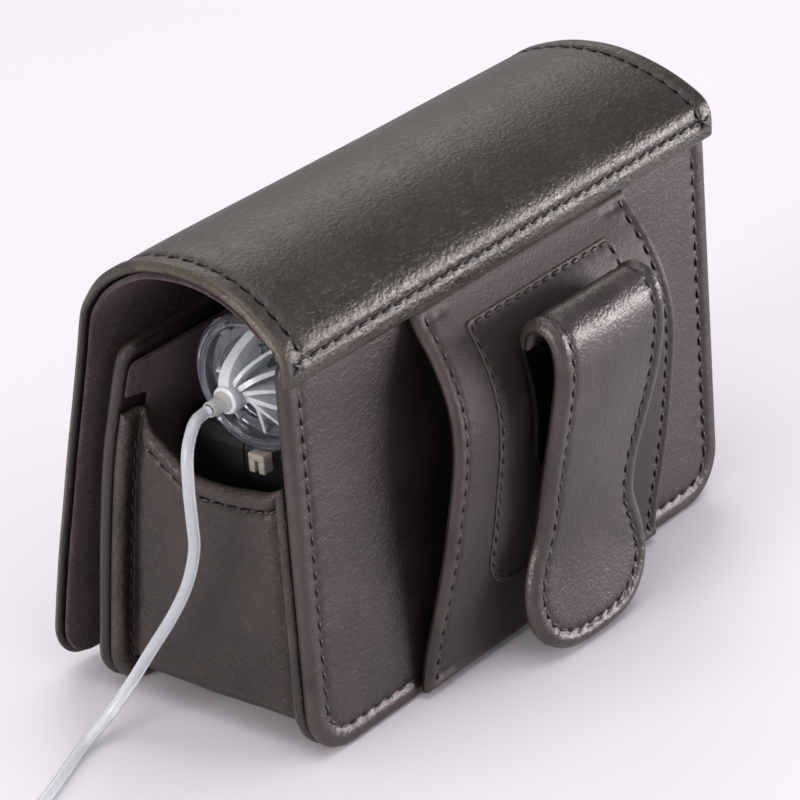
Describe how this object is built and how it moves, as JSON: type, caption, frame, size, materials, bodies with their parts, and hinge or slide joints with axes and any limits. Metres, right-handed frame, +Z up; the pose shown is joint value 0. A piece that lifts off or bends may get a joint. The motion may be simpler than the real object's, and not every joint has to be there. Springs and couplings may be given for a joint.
{
  "type": "wearable oxygen concentrator in belt case",
  "caption": "Small oxygen unit in a black leather belt case with a flap, belt loop and sprung clip, and a thin clear outlet tube leaving one end.",
  "frame": {"origin": "middle of the underside of the box round the case with its flap and clip, without the tube", "axes": "+X along the case away from the tube end, +Y towards the side the flap closes over, -Y towards the wearer's belt, +Z up"},
  "size_m": [0.1891, 0.0774, 0.0809],
  "materials": {
    "case_leather": "fine-grained black cowhide, satin",
    "edge_leather": "thinner black leather, satin",
    "suede": "dark brown-black suede, matt",
    "fibre_board": "dense fibre board",
    "spring_steel": "nickel-plated steel",
    "housing_plastic": "fine texture",
    "black_plastic": "smooth",
    "circuit_board": "solder mask",
    "cell_wrapper": "shrink sleeve",
    "lens": "green light pipe",
    "clear_plastic": "clear moulded polycarbonate",
    "frosted_plastic": "slightly frosted polycarbonate",
    "natural_nylon": "natural nylon",
    "seal_rubber": "smooth",
    "cell_plates": "stacked titanium and carbon plates",
    "filter_felt": "felt",
    "tube_vinyl": "clear soft vinyl",
    "tie_plastic": "thin strap",
    "fitting_blue": "moulded"
  },
  "bodies": {
    "case": {"back_panel": "case_leather", "front_panel": "case_leather", "gusset": "edge_leather", "near_end_facing": "edge_leather", "far_end_facing": "edge_leather", "back_lining": "suede", "front_lining": "suede", "base_board": "fibre_board", "flap_seam_strip": "case_leather", "belt_loop": "case_leather", "clip_patch": "case_leather", "clip_back_leg": "spring_steel", "clip_rivet_left": "spring_steel", "clip_rivet_right": "spring_steel", "panel_snap": "spring_steel", "housing_back_shell": "housing_plastic", "housing_front_shell": "housing_plastic", "control_board": "circuit_board", "board_processor": "black_plastic", "board_capacitor": "black_plastic", "battery_cell": "cell_wrapper", "battery_contact_near": "spring_steel", "battery_contact_far": "spring_steel", "charge_socket": "spring_steel", "status_lens": "lens", "button_dome": "spring_steel", "cell_lead": "black_plastic", "barrel_saddle_near": "housing_plastic", "barrel_saddle_far": "housing_plastic", "cell_barrel": "clear_plastic", "oxygen_cell_stack": "cell_plates", "barrel_end_cap": "housing_plastic", "inlet_filter": "filter_felt", "barrel_seal": "seal_rubber", "tube": "tube_vinyl", "tube_coil": "tube_vinyl", "coil_tie": "tie_plastic", "tube_tail": "tube_vinyl", "tube_connector": "clear_plastic", "connector_cap": "fitting_blue"},
    "flap": {"flap_leather": "case_leather", "flap_lining": "suede", "flap_snap": "spring_steel"},
    "clip_tongue": {"clip_cover_outer": "case_leather", "clip_spring": "spring_steel", "clip_cover_inner": "edge_leather"},
    "outlet_cap_turn": {"outlet_cap": "clear_plastic", "outlet_fins": "frosted_plastic", "outlet_nozzle": "frosted_plastic", "cap_lock_tab": "natural_nylon"},
    "button": {"power_button": "black_plastic"}
  },
  "joints": [
    {"name": "flap_hinge", "type": "hinge", "parent": "case", "child": "flap", "pos_m": [0, -0.01754, 0.0723], "axis": [1, 0, 0], "range_deg": [0, 100]},
    {"name": "clip_flex", "type": "hinge", "parent": "case", "child": "clip_tongue", "pos_m": [0.0025, -0.02944, 0.0568], "axis": [-1, 0, 0], "range_deg": [0, 10], "stiffness_Nm_per_rad": 0.6, "springref_deg": -8.59},
    {"name": "outlet_cap_turn", "type": "hinge", "parent": "case", "child": "outlet_cap_turn", "pos_m": [-0.0449, -0.00264, 0.0591], "axis": [-1, 0, 0], "range_deg": [0, 30]},
    {"name": "power_press", "type": "slide", "parent": "case", "child": "button", "axis": [0, 0, -1], "range_m": [0, 0.0008], "stiffness_N_per_m": 250, "springref_m": -0.001}
  ]
}
